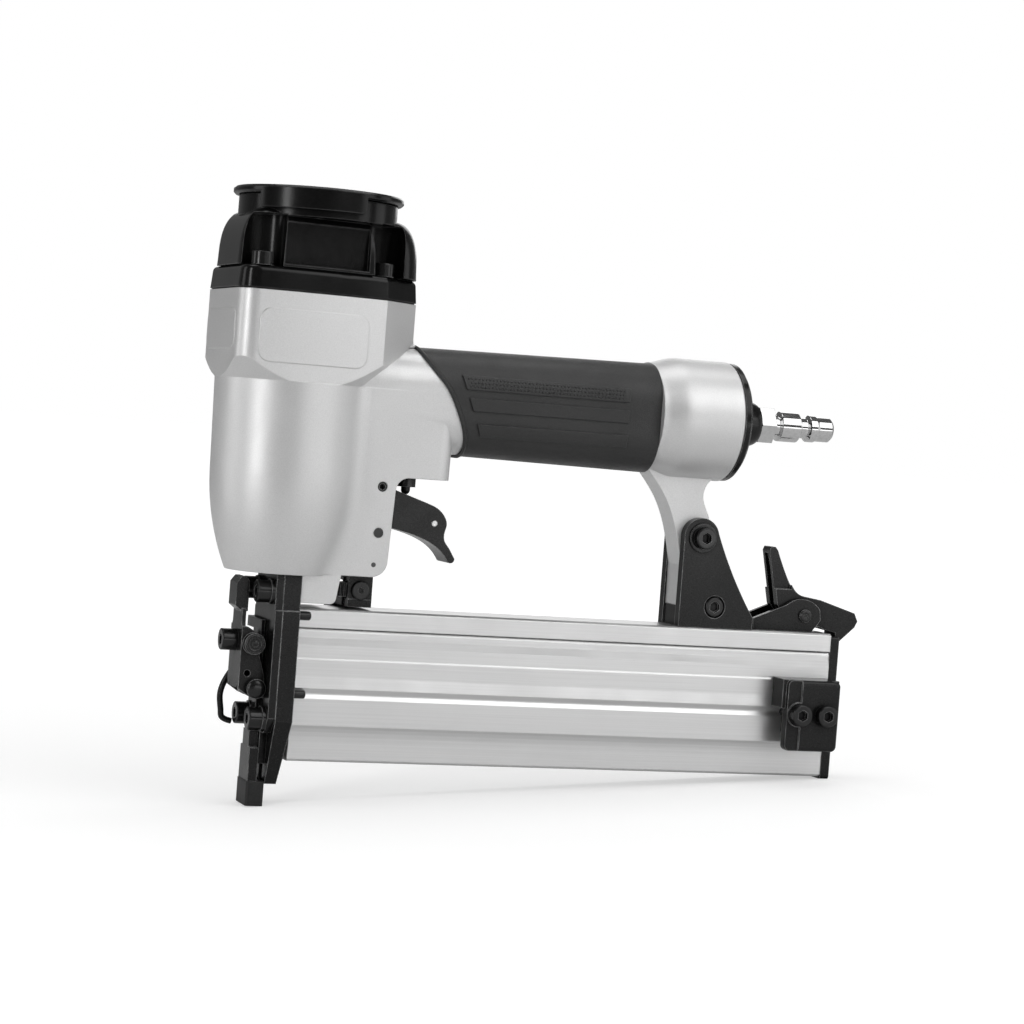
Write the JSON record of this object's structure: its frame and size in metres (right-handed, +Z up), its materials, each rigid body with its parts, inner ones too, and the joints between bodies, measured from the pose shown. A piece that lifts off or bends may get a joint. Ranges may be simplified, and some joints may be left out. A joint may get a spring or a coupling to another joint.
{
  "type": "air nailer",
  "caption": "Hand-held air nailer: silver cast body, black cap with a turning exhaust deflector, rubber grip, trigger, latched nose with contact foot and a long sliding nail magazine.",
  "frame": {"origin": "on the driver's line, level with the sole of the tip pad, where a nail leaves", "axes": "+X rearward along the magazine, +Y to the tool's right, +Z up the driver's line"},
  "size_m": [0.273, 0.0642, 0.2334],
  "materials": {
    "cast_silver": "satin silver-grey paint over a die casting",
    "black_cap": "satin black",
    "grip_rubber": "matte, finely stippled",
    "anodised": "satin anodised, drawn along its length",
    "black_steel": "satin black oxide",
    "black_screws": "black oxide",
    "chrome_plug": "bright plated",
    "soft_rubber": "matte",
    "bright_steel": "ground",
    "bare_aluminium": "machined",
    "inner_plastic": "matte",
    "brass_valve": "turned"
  },
  "bodies": {
    "housing": {"main_housing": "cast_silver", "cylinder_sleeve": "bare_aluminium", "bumper": "soft_rubber", "top_cap": "black_cap", "cap_gasket": "soft_rubber", "cap_screws": "black_screws", "deflector_screw": "black_screws", "grip_sleeve": "grip_rubber", "inlet_end_cap": "black_steel", "end_cap_seal": "soft_rubber", "air_plug": "chrome_plug", "trigger_valve_body": "black_screws", "trigger_valve_seals": "soft_rubber", "valve_spring_cap": "brass_valve", "valve_spring": "bright_steel", "head_valve_spring": "bright_steel", "trigger_pin": "black_screws", "trigger_stop_pin": "black_screws", "nose_body": "black_steel", "locating_pins": "black_screws", "nose_front_plate": "black_steel", "nose_bolts": "black_screws", "nose_washers": "black_screws", "latch_pivot_pin": "black_screws", "safety_spring": "bright_steel", "magazine_rail": "anodised", "foot_spacer": "black_steel", "foot_plate_left": "black_steel", "foot_plate_right": "black_steel", "foot_screws": "black_screws", "foot_nuts": "black_screws", "latch_bracket": "black_steel", "latch_pin": "black_screws", "latch_spring": "bright_steel"},
    "piston_assembly": {"piston": "bare_aluminium", "piston_ring": "soft_rubber", "driver_blade": "bright_steel", "blade_pin": "bright_steel"},
    "head_valve_assembly": {"head_valve": "inner_plastic", "head_valve_seal": "soft_rubber"},
    "deflector_assembly": {"deflector": "black_cap"},
    "trigger_lever": {"trigger": "black_steel"},
    "valve_stem_assembly": {"valve_stem": "black_screws"},
    "safety": {"contact_foot": "black_steel", "tip_pad": "soft_rubber", "safety_link": "black_steel", "safety_bracket": "black_steel", "bracket_screw": "black_screws"},
    "depth_adjuster": {"depth_wheel": "black_steel"},
    "nose_latch": {"nose_latch_lever": "black_steel", "lever_screw": "black_screws"},
    "bail": {"latch_bail": "black_steel"},
    "magazine_slide": {"magazine_cover": "anodised", "rear_plate": "black_steel", "finger_pull": "black_steel", "pull_screws": "black_screws", "pusher_rod": "bright_steel", "pusher_spring": "bright_steel"},
    "nail_pusher": {"pusher": "black_steel"},
    "rear_latch": {"magazine_latch": "black_steel"}
  },
  "joints": [
    {"name": "piston_stroke", "type": "slide", "parent": "housing", "child": "piston_assembly", "axis": [0, 0, -1], "range_m": [0, 0.066]},
    {"name": "head_valve_lift", "type": "slide", "parent": "housing", "child": "head_valve_assembly", "axis": [0, 0, 1], "range_m": [0, 0.004], "stiffness_N_per_m": 900, "springref_m": -0.004, "deforming": ["head_valve_spring"]},
    {"name": "deflector_turn", "type": "hinge", "parent": "housing", "child": "deflector_assembly", "pos_m": [0.0062, 0, 0.2286], "axis": [0, 0, 1], "continuous": true},
    {"name": "trigger_pull", "type": "hinge", "parent": "housing", "child": "trigger_lever", "pos_m": [0.035, 0, 0.1232], "axis": [0, -1, 0], "range_deg": [0, 10], "stiffness_Nm_per_rad": 0.6, "springref_deg": -11.46},
    {"name": "valve_stem_lift", "type": "slide", "parent": "housing", "child": "valve_stem_assembly", "axis": [0, 0, 1], "range_m": [0, 0.0025], "deforming": ["valve_spring"]},
    {"name": "safety_press", "type": "slide", "parent": "housing", "child": "safety", "axis": [0, 0, 1], "range_m": [0, 0.006], "stiffness_N_per_m": 900, "springref_m": -0.016, "deforming": ["safety_spring"]},
    {"name": "depth_wheel_turn", "type": "hinge", "parent": "safety", "child": "depth_adjuster", "pos_m": [0.0282, 0, 0.0829], "axis": [0, 0, 1], "continuous": true},
    {"name": "nose_latch_open", "type": "hinge", "parent": "housing", "child": "nose_latch", "pos_m": [-0.007, 0, 0.0445], "axis": [0, -1, 0], "range_deg": [0, 75]},
    {"name": "bail_swing", "type": "hinge", "parent": "nose_latch", "child": "bail", "pos_m": [-0.0104, 0, 0.05], "axis": [0, -1, 0], "range_deg": [-83, 0]},
    {"name": "magazine_open", "type": "slide", "parent": "housing", "child": "magazine_slide", "axis": [1, 0, 0], "range_m": [0, 0.15]},
    {"name": "pusher_feed", "type": "slide", "parent": "magazine_slide", "child": "nail_pusher", "axis": [1, 0, 0], "range_m": [0, 0.17], "stiffness_N_per_m": 30, "springref_m": -0.1, "deforming": ["pusher_spring"]},
    {"name": "rear_latch_lift", "type": "hinge", "parent": "housing", "child": "rear_latch", "pos_m": [0.2196, 0, 0.0823], "axis": [0, -1, 0], "range_deg": [0, 18], "stiffness_Nm_per_rad": 0.5, "springref_deg": -11.46}
  ],
  "couplings": [
    {"joint": "valve_stem_lift", "follows": "trigger_pull", "m_per_rad": 0.01404},
    {"joint": "bail_swing", "follows": "nose_latch_open", "ratio": -1.1}
  ]
}
